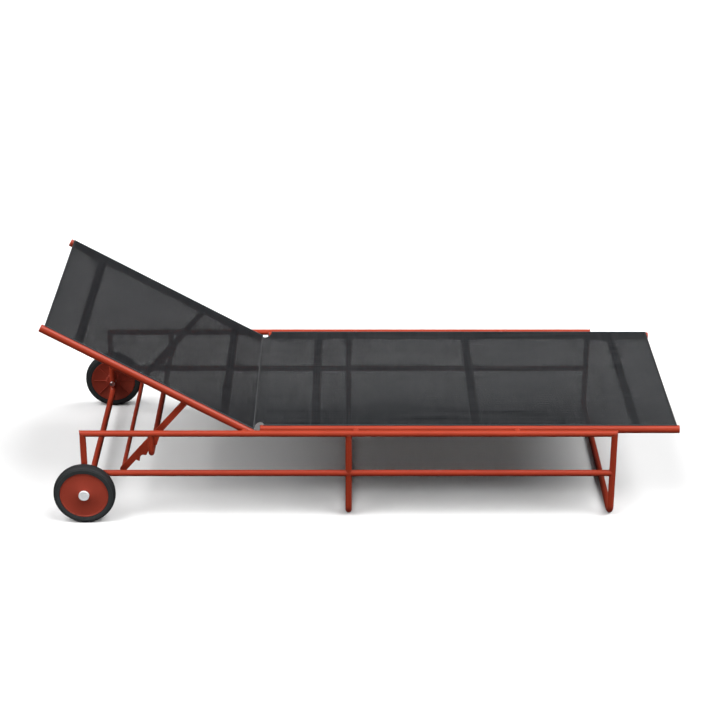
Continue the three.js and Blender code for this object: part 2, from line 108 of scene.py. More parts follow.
# ---------------------------------------------------------------- materials
class Nodes:
    """A Principled material and short ways to add the nodes that feed it."""

    def __init__(self, name, **sockets):
        self.material = bpy.data.materials.new(name)
        self.material.use_nodes = True
        self.tree = self.material.node_tree
        self.shader = self.tree.nodes["Principled BSDF"]
        for socket, value in sockets.items():
            self.shader.inputs[socket.replace("_", " ")].default_value = value

    def new(self, kind, **inputs):
        node = self.tree.nodes.new(kind)
        for socket, value in inputs.items():
            self.feed(node.inputs[socket.replace("_", " ")], value)
        return node

    def feed(self, socket, value):
        if isinstance(value, bpy.types.NodeSocket):
            self.tree.links.new(value, socket)
        else:
            socket.default_value = value

    def math(self, operation, *values):
        node = self.tree.nodes.new("ShaderNodeMath")
        node.operation = operation
        for socket, value in zip(node.inputs, values):
            self.feed(socket, value)
        return node.outputs[0]

    def place(self):
        return self.tree.nodes.new("ShaderNodeTexCoord").outputs["Object"]

    def stretched(self, vector, scale):
        return self.new("ShaderNodeMapping", Vector=vector, Scale=scale).outputs[0]

    def noise(self, vector, scale, detail=3.0):
        return self.new("ShaderNodeTexNoise", Vector=vector, Scale=scale, Detail=detail).outputs[0]

    def ramp(self, value, *stops):
        node = self.new("ShaderNodeValToRGB", Fac=value)
        elements = node.color_ramp.elements
        for i, (position, color) in enumerate(stops):
            element = elements[i] if i < 2 else elements.new(position)
            element.position = position
            element.color = (*color, 1)
        return node.outputs[0]

    def between(self, value, low, high):
        return self.new("ShaderNodeMapRange", Value=value, To_Min=low, To_Max=high).outputs[0]

    def bump(self, height, distance, strength=1.0):
        node = self.new("ShaderNodeBump", Height=height, Distance=distance, Strength=strength)
        self.feed(self.shader.inputs["Normal"], node.outputs[0])

    def output(self, **sockets):
        for socket, value in sockets.items():
            self.feed(self.shader.inputs[socket.replace("_", " ")], value)
        return self.material


def shade(color, factor):
    return tuple(channel * factor for channel in color)


def powder_coat():
    red = (0.32, 0.038, 0.017)
    n = Nodes("powder_coat", Specular_IOR_Level=0.24, Coat_Weight=0.05, Coat_Roughness=0.3)
    place = n.place()
    cloud = n.noise(place, 7.0)
    color = n.ramp(cloud, (0.3, shade(red, 0.93)), (0.7, shade(red, 1.06)))
    grain = n.noise(place, 900.0, 2.0)
    n.bump(grain, 0.00012, 0.35)
    return n.output(Base_Color=color, Roughness=n.between(n.noise(place, 160.0), 0.3, 0.42))


def moulded(name, color, roughness, grain_scale=1400.0, grain=0.00008, gloss=0.35):
    n = Nodes(name, Specular_IOR_Level=gloss)
    place = n.place()
    tint = n.ramp(n.noise(place, 18.0), (0.3, shade(color, 0.92)), (0.7, shade(color, 1.07)))
    n.bump(n.noise(place, grain_scale, 2.0), grain, 0.5)
    worn = n.between(n.noise(place, 60.0), roughness - 0.05, roughness + 0.06)
    return n.output(Base_Color=tint, Roughness=worn)


def zinc():
    n = Nodes("zinc_steel", Metallic=1.0)
    place = n.place()
    color = n.ramp(n.noise(place, 300.0), (0.35, (0.5, 0.51, 0.52)), (0.65, (0.68, 0.69, 0.7)))
    brushed = n.noise(n.stretched(place, (1, 0.04, 1)), 2500.0, 2.0)
    n.bump(brushed, 0.00004, 0.5)
    return n.output(Base_Color=color, Roughness=n.between(brushed, 0.24, 0.4))


YARN_PITCH = 1.9 * MM
RIB_PITCH = 17 * MM  # faint ribs along the fabric
CROSS_RIB_PITCH = 8.5 * MM
OPEN_SHARE = 0.235  # a yarn's edge, as a height on its sine


def woven_mesh(name, darkest, palest):
    """Coated yarns in a plain weave with open corners; the weave attribute holds metres across and along."""
    n = Nodes(name, Specular_IOR_Level=0.2)
    weave = n.new("ShaderNodeAttribute")
    weave.attribute_name = "weave"
    cells = n.stretched(weave.outputs["Vector"], (1 / YARN_PITCH,) * 3)
    split = n.new("ShaderNodeSeparateXYZ", Vector=cells)
    across = n.math("SINE", n.math("MULTIPLY", split.outputs[0], math.pi))
    along = n.math("SINE", n.math("MULTIPLY", split.outputs[1], math.pi))
    lengthwise = n.math("ABSOLUTE", across)
    crosswise = n.math("ABSOLUTE", along)
    over = n.math("MULTIPLY", across, along)
    height_a = n.math("MULTIPLY", lengthwise, n.between(over, 0.75, 1.0))
    height_b = n.math("MULTIPLY", crosswise, n.between(over, 1.0, 0.75))
    height = n.math("MAXIMUM", height_a, height_b)
    streaks = n.noise(n.stretched(weave.outputs["Vector"], (75, 3, 1)), 1.0, 2.0)
    bars = n.noise(n.stretched(weave.outputs["Vector"], (5, 150, 1)), 1.0, 2.0)
    rib = n.math("SINE", n.math("MULTIPLY", split.outputs[0], 2 * math.pi * YARN_PITCH / RIB_PITCH))
    cross_turn = 2 * math.pi * YARN_PITCH / CROSS_RIB_PITCH
    cross_rib = n.math("SINE", n.math("MULTIPLY", split.outputs[1], cross_turn))
    tone = n.math("ADD", n.math("MULTIPLY", streaks, 0.6), n.math("MULTIPLY", bars, 0.4))
    tone = n.math("ADD", tone, n.math("MULTIPLY", rib, 0.12))
    tone = n.math("ADD", tone, n.math("MULTIPLY", cross_rib, 0.08))
    gap = n.math("ADD", n.math("MULTIPLY", rib, 0.03), OPEN_SHARE)
    gap = n.math("ADD", gap, n.math("MULTIPLY", cross_rib, 0.015))
    yarn = n.math("MAXIMUM", n.math("GREATER_THAN", lengthwise, gap), n.math("GREATER_THAN", crosswise, gap))
    color = n.ramp(tone, (0.3, darkest), (0.7, palest))
    n.bump(height, 0.0004, 0.6)
    return n.output(Base_Color=color, Alpha=yarn, Roughness=n.between(tone, 0.5, 0.62))


RED = powder_coat()
STEEL = zinc()
RUBBER = moulded("tyre_rubber", (0.017, 0.018, 0.019), 0.62, 700.0, 0.00012, 0.2)
# A paler copy of the tyre rubber for the side walls: painted light, since the lamps above hardly reach faces
# that look sideways.
SIDE_WALL_PAINTED_LIGHT = moulded("tyre_side_wall_painted_light", (0.040, 0.044, 0.045), 0.65, 700.0, 0.00012, 0.2)
HUB = moulded("hub_plastic", (0.33, 0.048, 0.028), 0.5)
PLUG = moulded("plug_plastic", (0.40, 0.058, 0.03), 0.5)
CAP = moulded("cap_plastic", (0.86, 0.88, 0.90), 0.32)
BLACK = moulded("black_plastic", (0.014, 0.014, 0.015), 0.5)
SEAT_WEAVE = woven_mesh("seat_weave", (0.002, 0.003, 0.004), (0.027, 0.028, 0.030))
# The backrest gets a darker copy of the seat's weave: painted shade on the same fabric where it tilts up as
# the backrest.
BACK_WEAVE_PAINTED_SHADE = woven_mesh("backrest_weave_painted_shade", (0.002, 0.002, 0.003), (0.020, 0.021, 0.023))
HEM = moulded("hem_band", (0.020, 0.021, 0.022), 0.6, 1100.0, 0.0002)
# The fold seam is paler than the fabric: painted highlight along the crease where the fabric bends.
SEAM_PAINTED_HIGHLIGHT = moulded("fold_seam_painted_highlight", (0.048, 0.050, 0.052), 0.6, 1100.0, 0.0002)
CORD = moulded("edge_cord", (0.030, 0.044, 0.050), 0.45, 1100.0, 0.0002)


# ---------------------------------------------------------------- mesh tools
class Shape:
    """Vertices and faces that are gathered into one object."""

    def __init__(self):
        self.points, self.faces = [], []

    def rings(self, rings, closed=False, caps=True):
        """Joins rings of equally many points, in order."""
        base, count = len(self.points), len(rings[0])
        for ring in rings:
            self.points.extend(ring)
        for i in range(len(rings) if closed else len(rings) - 1):
            here, there = base + i * count, base + (i + 1) % len(rings) * count
            for k in range(count):
                after = (k + 1) % count
                self.faces.append((here + k, here + after, there + after, there + k))
        if caps and not closed:
            self.faces.append(tuple(reversed(range(base, base + count))))
            last = base + (len(rings) - 1) * count
            self.faces.append(tuple(range(last, last + count)))

    def make(self, name, body, material, slot, stands_for=(), crease=35):
        mesh = bpy.data.meshes.new(name)
        mesh.from_pydata(self.points, [], self.faces)
        mesh.validate()
        mesh.shade_smooth()
        mesh.set_sharp_from_angle(angle=math.radians(crease))
        outward(mesh)
        mesh.materials.append(material)
        piece = bpy.data.objects.new(name, mesh)
        bpy.context.scene.collection.objects.link(piece)
        if body:
            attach(piece, body)
        if stands_for:
            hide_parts(*stands_for)
        return piece


def outward(mesh):
    """Turns the faces of a closed mesh outward."""
    work = bmesh.new()
    work.from_mesh(mesh)
    bmesh.ops.recalc_face_normals(work, faces=work.faces)
    work.to_mesh(mesh)
    work.free()


def circle(centre, across, up, radius, sides):
    turn = 2 * math.pi / sides
    ring = []
    for i in range(sides):
        ring.append(centre + across * (radius * math.cos(i * turn)) + up * (radius * math.sin(i * turn)))
    return ring


def directions(path):
    """The tangent at each point of an open path."""
    steps = [(b - a).normalized() for a, b in zip(path, path[1:])]
    return [steps[0], *[(a + b).normalized() for a, b in zip(steps, steps[1:])], steps[-1]]


def sweep(shape, path, normal, radius, sides=40, mitres=(None, None)):
    """A round tube along a path in the plane across normal; a mitre is the (point, normal) of an end's cut."""
    rings = []
    for point, along in zip(path, directions(path)):
        rings.append(circle(point, normal, normal.cross(along), radius, sides))
    for index, mitre in ((0, mitres[0]), (-1, mitres[1])):
        if mitre:
            spot, face = mitre
            along = directions(path)[index]
            rings[index] = [p + along * ((spot - p).dot(face) / along.dot(face)) for p in rings[index]]
    shape.rings(rings)


def bent(corners, radius, steps=12):
    """A path through corners, with the inner ones rounded."""
    path = [corners[0]]
    for before, corner, after in zip(corners, corners[1:], corners[2:]):
        back, on = (before - corner).normalized(), (after - corner).normalized()
        centre = corner + (back + on) * radius
        for i in range(steps + 1):
            angle = i / steps * math.pi / 2
            path.append(centre - on * (radius * math.cos(angle)) - back * (radius * math.sin(angle)))
    path.append(corners[-1])
    return path


def bead(shape, loop, size, sides=10, ripple=0.12, pitch=2.2 * MM):
    """A rippled weld bead along a closed loop."""
    centre = sum(loop, Vector()) / len(loop)
    rings, travelled = [], 0.0
    for i, point in enumerate(loop):
        following = loop[(i + 1) % len(loop)]
        along = (following - loop[i - 1]).normalized()
        out = point - centre
        out = (out - along * out.dot(along)).normalized()
        radius = size * (1 + ripple * math.sin(2 * math.pi * travelled / pitch))
        rings.append(circle(point, out, along.cross(out), radius, sides))
        travelled += (following - point).length
    shape.rings(rings, closed=True)


SADDLE_SHARE = 0.985  # of the run's radius, so that the line stays on the leg


def saddle(centre, along, cross, run_radius, leg_radius, steps=72):
    """The line where a tube running along meets the side of a tube that runs across it, at centre."""
    side = along.cross(cross)
    loop = []
    for i in range(steps):
        angle = 2 * math.pi * i / steps
        across = SADDLE_SHARE * run_radius * math.sin(angle)
        depth = math.sqrt(leg_radius ** 2 - across ** 2)
        loop.append(centre + along * depth + side * across + cross * (run_radius * math.cos(angle)))
    return loop


AXIS_R = 0.02 * MM  # stands for a point on the axis


def turned(shape, centre, axis, profile, sides=96):
    """A disc turned about axis from (radius, station) points, or a ring where the profile is off the axis."""
    across = Z_AXIS if abs(axis.z) < 0.9 else X_AXIS
    across = (across - axis * across.dot(axis)).normalized()
    up = axis.cross(across)
    rings = []
    for radius, station in profile:
        rings.append(circle(centre + axis * station, across, up, max(radius, AXIS_R), sides))
    on_axis = profile[0][0] == 0
    shape.rings(rings, closed=not on_axis, caps=on_axis)


def hexagon_reach(angle, flat):
    """The distance from a hexagon's middle to its edge, flat being half its width across the flats."""
    sector = math.pi / 3
    return flat / math.cos((angle + sector / 2) % sector - sector / 2)


def socket_head(shape, centre, axis, profile, flat, depth, sides=48):
    """A turned head whose last profile point is the rim of a hexagon socket, sunk along -axis by depth."""
    across = Z_AXIS
    up = axis.cross(across)
    rings = [circle(centre + axis * station, across, up, radius, sides) for radius, station in profile]
    top = profile[-1][1]
    for station in (top, top - depth):
        ring = []
        for i in range(sides):
            angle = 2 * math.pi * i / sides
            reach = hexagon_reach(angle, flat)
            out = across * (reach * math.cos(angle)) + up * (reach * math.sin(angle))
            ring.append(centre + axis * station + out)
        rings.append(ring)
    shape.rings(rings)


def arc(centre, radius, start, end, steps):
    """Points of an arc as (a, b) pairs, angles in degrees."""
    found = []
    for i in range(steps + 1):
        angle = math.radians(start + (end - start) * i / steps)
        found.append((centre[0] + radius * math.cos(angle), centre[1] + radius * math.sin(angle)))
    return found


def prism(shape, outline, low, high, chamfer):
    """An outline of Vectors in the XZ plane, extruded along Y with chamfered edges."""
    inner = shrunk(outline, chamfer)
    levels = ((inner, low), (outline, low + chamfer), (outline, high - chamfer), (inner, high))
    shape.rings([[p + Y_AXIS * y for p in ring] for ring, y in levels])


def shrunk(outline, by):
    """The outline moved in by a small distance, corner by corner."""
    following = outline[1:] + outline[:1]
    area = sum(a.x * b.z - b.x * a.z for a, b in zip(outline, following))
    sign = 1 if area > 0 else -1
    sharpest = 0.4  # limits how far the corner of a thin tooth moves
    moved = []
    for i, point in enumerate(outline):
        back, on = (point - outline[i - 1]).normalized(), (following[i] - point).normalized()
        normals = [Vector((-d.z, 0, d.x)) * sign for d in (back, on)]
        both = normals[0] + normals[1]
        both = both / max(sharpest, both.length_squared / 2)
        moved.append(point + both * by)
    return moved


# ---------------------------------------------------------------- base frame
WELD_R = 1.3 * MM
MITRE_WELD_R = 0.7 * MM  # ground nearly flush
FINE_WELD_R = 1.2 * MM  # on bar ends and the stay's link
STUB_WELD_R = 1.1 * MM


def mitre_plane(x, lean):
    """The 45 degree plane between an end leg and a top rail; lean is -1 at the head and +1 at the foot."""
    return Vector((x, 0, RAIL_Z)), Vector((lean, 0, -1)).normalized()


def top_rails():
    for word, side in SIDES:
        shape = Shape()
        path = [Vector((x, side * BASE_Y, RAIL_Z)) for x in (HEAD_X, FOOT_X)]
        sweep(shape, path, Y_AXIS, BASE_R, mitres=(mitre_plane(HEAD_X, -1), mitre_plane(FOOT_X, 1)))
        shape.make(f"rail_tube_{word}", "base", RED, "frame_paint", [f"top_rail_{word}"])


def lower_rails():
    inset = 2 * MM
    for word, side in SIDES:
        for place, start, end in (("head", HEAD_X, MID_X), ("foot", MID_X, FOOT_X)):
            shape = Shape()
            path = [Vector((x, side * BASE_Y, LOWER_Z)) for x in (start + inset, end - inset)]
            sweep(shape, path, Y_AXIS, BASE_R)
            node = f"lower_rail_{place}_{word}"
            shape.make(f"lower_tube_{place}_{word}", "base", RED, "frame_paint", [node])


def u_frame(name, node, x, top_z, cross_z, radius, bend, mitre):
    corners = [(-1, top_z), (-1, cross_z), (1, cross_z), (1, top_z)]
    path = bent([Vector((x, side * BASE_Y, z)) for side, z in corners], bend)
    shape = Shape()
    sweep(shape, path, X_AXIS, radius, mitres=(mitre, mitre))
    shape.make(name, "base", RED, "frame_paint", [node])


def u_frames():
    head_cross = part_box("head_frame")[0].z + BASE_R
    catch_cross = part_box("catch_frame")[0].z + CATCH_R
    head_mitre, foot_mitre = mitre_plane(HEAD_X, -1), mitre_plane(FOOT_X, 1)
    u_frame("head_tube", "head_frame", HEAD_X, RAIL_Z, head_cross, BASE_R, HEAD_BEND_R, head_mitre)
    u_frame("foot_tube", "foot_frame", FOOT_X, RAIL_Z, BASE_R, BASE_R, BEND_R, foot_mitre)
    under = RAIL_Z - 0.5 * BASE_R  # these legs end inside the top rails
    u_frame("middle_tube", "middle_frame", MID_X, under, BASE_R, BASE_R, BEND_R, None)
    u_frame("catch_tube", "catch_frame", CATCH_X, under, catch_cross, CATCH_R, CATCH_BEND_R, None)


def mitre_loop(x, side, lean, steps=72):
    """The ellipse where the mitred leg and rail meet."""
    loop = []
    for i in range(steps):
        angle = 2 * math.pi * i / steps
        run = BASE_R * math.cos(angle)
        loop.append(Vector((x + lean * run, side * BASE_Y + BASE_R * math.sin(angle), RAIL_Z + run)))
    return loop


def frame_welds():
    for word, side in SIDES:
        shape = Shape()
        y = side * BASE_Y
        for x, ways in ((HEAD_X, (1,)), (MID_X, (-1, 1)), (FOOT_X, (-1,))):
            for way in ways:
                bead(shape, saddle(Vector((x, y, LOWER_Z)), X_AXIS * way, Z_AXIS, BASE_R, BASE_R), WELD_R)
        for x, radius in ((MID_X, BASE_R), (CATCH_X, CATCH_R)):
            bead(shape, saddle(Vector((x, y, RAIL_Z)), -Z_AXIS, X_AXIS, radius, BASE_R), WELD_R)
        bead(shape, mitre_loop(HEAD_X, side, -1), MITRE_WELD_R, ripple=0.05)
        bead(shape, mitre_loop(FOOT_X, side, 1), MITRE_WELD_R, ripple=0.05)
        shape.make(f"frame_welds_{word}", "base", RED, "frame_paint")


# ---------------------------------------------------------------- seat and backrest tubes
def side_tubes():
    for word, side in SIDES:
        seat = Shape()
        sweep(seat, [Vector((x, side * SLING_Y, RAIL_Z)) for x in (SEAT_START, SEAT_END)], Y_AXIS, SLING_R)
        seat.make(f"seat_tube_{word}", "base", RED, "frame_paint", [f"seat_rail_{word}"])
        back = Shape()
        offset = Y_AXIS * side * SLING_Y
        sweep(back, [HINGE + offset + BACK_UP * reach for reach in (BACK_TAIL, BACK_TOP)], Y_AXIS, SLING_R)
        back.make(f"backrest_tube_{word}", "backrest", RED, "frame_paint", [f"backrest_rail_{word}"])


def tube_plug(name, body, end, outward_way, material, slot, node):
    """A plug whose stem is inside the tube's end and whose flange covers the end face."""
    flange = span(node, end, outward_way)[1]
    stem_r, stem_depth = SLING_R - 1.8 * MM, 10 * MM
    rim = 0.7 * MM
    dish_r, dish_depth = 4 * MM, 0.5 * MM
    profile = [(0, -stem_depth), (stem_r, -stem_depth), (stem_r, 0), (SLING_R, 0)]
    profile += [(SLING_R - rim + r, flange - rim + s) for r, s in arc((0, 0), rim, 0, 90, 5)]
    profile += [(dish_r, flange), (dish_r - 1 * MM, flange - dish_depth), (0, flange - dish_depth)]
    shape = Shape()
    turned(shape, end, outward_way, profile, 64)
    shape.make(name, body, material, slot, [node])


def tube_plugs():
    for word, side in SIDES:
        offset = Y_AXIS * side * SLING_Y
        for place, x, way, material, slot in (
            ("head", SEAT_START, -X_AXIS, BLACK, "black_plastic"),
            ("foot", SEAT_END, X_AXIS, PLUG, "plug_plastic"),
        ):
            end = Vector((x, side * SLING_Y, RAIL_Z))
            tube_plug(f"{place}_plug_{word}", "base", end, way, material, slot, f"seat_plug_{place}_{word}")
        for place, reach, way in (("top", BACK_TOP, BACK_UP), ("tail", BACK_TAIL, -BACK_UP)):
            end = HINGE + offset + BACK_UP * reach
            node = f"backrest_plug_{place}_{word}"
            tube_plug(f"{place}_plug_{word}", "backrest", end, way, PLUG, "plug_plastic", node)


# ---------------------------------------------------------------- cross bars
BAR_WIDTH, BAR_HEIGHT = 28 * MM, 14 * MM
BAR_DROP = 4 * MM  # the bars lie this far below the side tubes' level
PLATE_HEIGHT, PLATE_THICK = 18 * MM, 3 * MM
PLATE_CORNER = 3 * MM
PLATE_EASE = 0.6 * MM
FILLET_R = 1.7 * MM  # weld between a plate and the side tube
FILLET_OUT, FILLET_UP = 1.6 * MM, 8.3 * MM


def rounded_outline(centre, along, up, length, height, corner, steps=8):
    """A rectangle with round corners, or a flat oval where corner is half the height."""
    outline = []
    for quarter, (sx, sz) in enumerate(((1, 1), (-1, 1), (-1, -1), (1, -1))):
        spot = (sx * (length / 2 - corner), sz * (height / 2 - corner))
        for a, b in arc(spot, corner, 90 * quarter, 90 * quarter + 90, steps):
            outline.append(centre + along * a + up * b)
    return outline


def flat_oval(centre, along, up, grown=0.0):
    """A cross bar's section, grown outward by a small distance."""
    width, height = BAR_WIDTH + 2 * grown, BAR_HEIGHT + 2 * grown
    return rounded_outline(centre, along, up, width, height, height / 2 - AXIS_R, 12)


def cross_bar(name, body, node, along, up, level):
    """A flat-oval bar with a plate welded to each end; level is mid width, at the side tubes' height."""
    low, high = span(node, level, along)
    plate_length = high - low
    centre = level + along * ((low + high) / 2)
    reach = half(node, 1)
    inner = reach - PLATE_THICK
    shape = Shape()
    oval = flat_oval(centre - up * BAR_DROP, along, up)
    bar_end = reach - PLATE_THICK / 2
    shape.rings([[p + Y_AXIS * y for p in oval] for y in (-bar_end, bar_end)])
    for side in (-1, 1):
        rings = []
        far = PLATE_THICK
        for y, shrink in ((0, PLATE_EASE), (PLATE_EASE, 0), (far - PLATE_EASE, 0), (far, PLATE_EASE)):
            size = (plate_length - 2 * shrink, PLATE_HEIGHT - 2 * shrink)
            ring = rounded_outline(centre, along, up, *size, PLATE_CORNER)
            rings.append([p + Y_AXIS * side * (inner + y) for p in ring])
        shape.rings(rings)
        weld = flat_oval(centre - up * BAR_DROP, along, up, 0.2 * MM)
        bead(shape, [p + Y_AXIS * side * inner for p in weld], FINE_WELD_R)
        for edge in (-1, 1):
            spot = centre + Y_AXIS * side * (reach + FILLET_OUT) + up * edge * FILLET_UP
            run = plate_length / 2 - PLATE_CORNER
            sweep(shape, [spot + along * s for s in (-run, run)], Y_AXIS, FILLET_R, 12)
    shape.make(name, body, RED, "frame_paint", [node])


def cross_bars():
    for place in ("head", "middle", "foot"):
        node = f"seat_bar_{place}"
        line = Vector((middle(node, 0), 0, RAIL_Z))
        cross_bar(f"seat_cross_{place}", "base", node, X_AXIS, Z_AXIS, line)
    for place in ("low", "high"):
        node = f"backrest_bar_{place}"
        cross_bar(f"backrest_cross_{place}", "backrest", node, BACK_UP, BACK_OUT, HINGE.copy())


# ---------------------------------------------------------------- bolts, spacers and stay
BOLT_R = 4 * MM
BOLT_HEAD_R, BOLT_HEAD = 7 * MM, 5 * MM
GAP = 0.3 * MM  # air left between neighbouring pieces


def button_bolt(name, body, node, side, face_y, x, z):
    """A domed bolt head with a hexagon socket, facing inboard, and its shank."""
    spot = Vector((x, side * face_y, z))
    reach = 2 * half(node, 1) - BOLT_HEAD
    shoulder = 1.3 * MM
    dome_r, dome_height = BOLT_HEAD_R - 0.1 * MM, 3.6 * MM
    profile = [(BOLT_R, -reach), (BOLT_R, 0), (BOLT_HEAD_R - 0.6 * MM, 0), (BOLT_HEAD_R, 0.5 * MM)]
    profile.append((BOLT_HEAD_R - 0.05 * MM, shoulder))
    for angle in (0.25, 0.5, 0.75, 0.95):
        profile.append((dome_r * math.cos(angle), shoulder + dome_height * math.sin(angle)))
    shape = Shape()
    socket_head(shape, spot, -Y_AXIS * side, profile, 2.4 * MM, 2.6 * MM)
    shape.make(name, body, STEEL, "fastener_steel", [node])


def spacers_and_bolts():
    face = SLING_Y - SLING_R - GAP
    for word, side in SIDES:
        for place in ("head", "foot"):
            spacer, bolt = f"seat_spacer_{place}_{word}", f"seat_bolt_{place}_{word}"
            round_spacer(f"seat_stub_{place}_{word}", "base", spacer, side, middle(spacer, 0))
            button_bolt(f"seat_screw_{place}_{word}", "base", bolt, side, face, middle(bolt, 0), RAIL_Z)
        round_spacer(f"hinge_stub_{word}", "base", f"hinge_spacer_{word}", side, HINGE.x)
        button_bolt(f"hinge_screw_{word}", "hinge_bolts", f"hinge_bolt_{word}", side, face, HINGE.x, HINGE.z)


def round_spacer(name, body, node, side, x):
    low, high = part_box(node)
    radius = half(node, 0)
    ease = 0.5 * MM
    shape = Shape()
    profile = [(0, low.y), (radius - ease, low.y), (radius, low.y + ease)]
    profile += [(radius, high.y - ease), (radius - ease, high.y), (0, high.y)]
    turned(shape, Vector((x, 0, RAIL_Z)), Y_AXIS, profile, 48)
    weld = saddle(Vector((x, side * BASE_Y, RAIL_Z)), -Y_AXIS * side, X_AXIS, radius, BASE_R)
    bead(shape, weld, STUB_WELD_R)
    shape.make(name, body, RED, "frame_paint", [node])


STAY_HALF = 10 * MM  # half the arm's depth where it has no teeth
NOTCH_CLEARANCE = 0.6 * MM  # round the catch tube


def notch(centre, radius, start, end, steps=14):
    """A round notch's points as (along the arm, below its middle), in the arm's own turned axes."""
    found = []
    for i in range(steps + 1):
        angle = math.radians(start + (end - start) * i / steps)
        found.append((centre[0] - radius * math.cos(angle), centre[1] - radius * math.sin(angle)))
    return found


def stay_outline(length, held):
    """An arm's outline as (along the arm, below its middle); held is the middle of the engaged notch."""
    grip = CATCH_R + NOTCH_CLEARANCE
    spare = (251.5 * MM, 22.5 * MM)
    outline = arc((0, 0), STAY_HALF, 270, 90, 24)
    outline += [(150 * MM, STAY_HALF), (189 * MM, 26.5 * MM)]
    outline += notch(held, grip, 50, 107)
    outline.append((238 * MM, 24.2 * MM))
    outline += notch(spare, grip, 15, 120)
    outline += [(269 * MM, 21.5 * MM), (273 * MM, STAY_HALF)]
    outline += arc((length, 0), STAY_HALF, 90, -90, 24)
    return outline


def stay():
    """Two notched arms on the backrest's pivots, joined by a tube at their free ends."""
    link_low, link_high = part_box("stay_link")
    link = (link_low + link_high) / 2
    link.y = 0
    down = link - PIVOT
    down.y = 0
    length = down.length
    down.normalize()
    below = Vector((-down.z, 0, down.x))
    catch = Vector((CATCH_X, 0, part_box("catch_frame")[0].z + CATCH_R)) - PIVOT
    catch.y = 0
    outline = stay_outline(length, (catch.dot(down), catch.dot(below)))
    for word, side in SIDES:
        node = f"stay_arm_{word}"
        low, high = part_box(node)
        shape = Shape()
        prism(shape, [PIVOT + down * a + below * b for a, b in outline], low.y, high.y, 0.5 * MM)
        shape.make(f"stay_plate_{word}", "stay", RED, "frame_paint", [node], crease=30)
        bolt = f"stay_bolt_{word}"
        face = low.y if side > 0 else -high.y
        button_bolt(f"stay_screw_{word}", "stay_bolts", bolt, side, face - GAP, PIVOT.x, PIVOT.z)
    shape = Shape()
    radius = half("stay_link", 0)
    sweep(shape, [link + Y_AXIS * y for y in (link_low.y, link_high.y)], X_AXIS, radius)
    proud = 0.4 * MM
    for side in (-1, 1):
        end = link + Y_AXIS * side * (link_high.y - proud)
        bead(shape, circle(end, X_AXIS, Z_AXIS, radius + proud, 48), FINE_WELD_R)
    shape.make("stay_link_tube", "stay", RED, "frame_paint", ["stay_link"])


# ---------------------------------------------------------------- wheels
def wheels():
    for word, side in SIDES:
        centre = Vector(joints[f"wheel_{word}_spin"]["pos_m"])
        centre.y = 0
        axis = Y_AXIS * side
        body = f"wheel_{word}"
        tyre(word, centre, axis, body)
        hub(word, centre, axis, body)
        cap(word, centre, axis, body)
        axle(word, centre, axis)


def tyre(word, centre, axis, body):
    low, high = span(f"tyre_{word}", centre, axis)
    outer = half(f"tyre_{word}", 2)
    inner = half(f"hub_{word}", 2) + 0.2 * MM
    line, reach = (low + high) / 2, (high - low) / 2
    shoulder, crown = 8 * MM, 1.5 * MM
    wall_r, tread = outer - crown - shoulder, reach - shoulder
    # The lip at the hub, then a shallow line round the side wall, the shoulder and the crowned tread.
    half_profile = [(inner, reach - 2 * MM), (inner + 0.8 * MM, reach - 0.9 * MM)]
    half_profile += [(inner + 3 * MM, reach - 0.5 * MM), (wall_r - 1.6 * MM, reach - 0.1 * MM)]
    half_profile += [(wall_r - 1.2 * MM, reach - 0.8 * MM)]
    half_profile += [(wall_r - 0.4 * MM, reach - 0.8 * MM)]
    half_profile += [(wall_r + b, tread + a) for a, b in arc((0, 0), shoulder, 0, 82, 14)]
    steps = 8
    half_profile += [(outer - crown * (s / steps) ** 2, tread * s / steps) for s in range(steps, 0, -1)]
    # Towards the other side the same profile runs back.
    profile = [(r, line + s) for r, s in half_profile]
    profile += [(outer, line)] + [(r, line - s) for r, s in reversed(half_profile)]
    shape = Shape()
    turned(shape, centre, axis, profile, 144)
    piece = shape.make(f"tyre_moulding_{word}", body, RUBBER, "tyre_rubber", [f"tyre_{word}"], crease=30)
    # Faces that look along the axis get the paler rubber: painted light on the side walls.
    piece.data.materials.append(SIDE_WALL_PAINTED_LIGHT)
    facing_side = 0.9
    for face in piece.data.polygons:
        if abs(face.normal.dot(axis)) > facing_side:
            face.material_index = 1


def hub(word, centre, axis, body):
    low, high = span(f"hub_{word}", centre, axis)
    rim = half(f"hub_{word}", 2)
    bore = 8.3 * MM
    boss_r, web_r = 22 * MM, 26 * MM
    socket = half(f"wheel_cap_{word}", 2) + GAP
    seat = span(f"wheel_cap_{word}", centre, axis)[0]
    outer = high + 0.4 * MM
    web = low + 3 * MM
    ease = 0.6 * MM
    profile = [(bore, low), (boss_r, low), (web_r, web), (rim - 9 * MM, web), (rim - 6 * MM, low + 1 * MM)]
    profile += [(rim - 1 * MM, low + 1 * MM), (rim, low + 2 * MM), (rim, outer - ease)]
    profile += [(rim - ease + r, outer - ease + s) for r, s in arc((0, 0), ease, 0, 90, 5)]
    profile += [(rim - 3 * MM, outer), (rim - 4 * MM, outer - 0.8 * MM), (socket + 4 * MM, outer - ease)]
    profile += [(socket + 2.8 * MM, outer), (socket + 0.9 * MM, outer), (socket, outer - 0.7 * MM)]
    profile += [(socket, seat), (bore, seat)]
    shape = Shape()
    turned(shape, centre, axis, profile, 144)
    hub_webs(shape, centre, axis, low)
    shape.make(f"hub_moulding_{word}", body, HUB, "hub_plastic", [f"hub_{word}"])


def hub_webs(shape, centre, axis, low):
    """Eight tapered webs on the hub's inner side, between the boss and the rim."""
    webs = 8
    start, end = 21 * MM, 68 * MM
    top, foot = low + 0.8 * MM, low + 4 * MM
    taper = 0.6
    for i in range(webs):
        angle = 2 * math.pi * i / webs
        out = X_AXIS * math.cos(angle) + Z_AXIS * math.sin(angle)
        wide = axis.cross(out) * 1.4 * MM
        rings = []
        for spot in (centre + out * start, centre + out * end):
            rings.append([spot - wide + axis * foot, spot + wide + axis * foot,
                          spot + wide * taper + axis * top, spot - wide * taper + axis * top])
        shape.rings(rings)


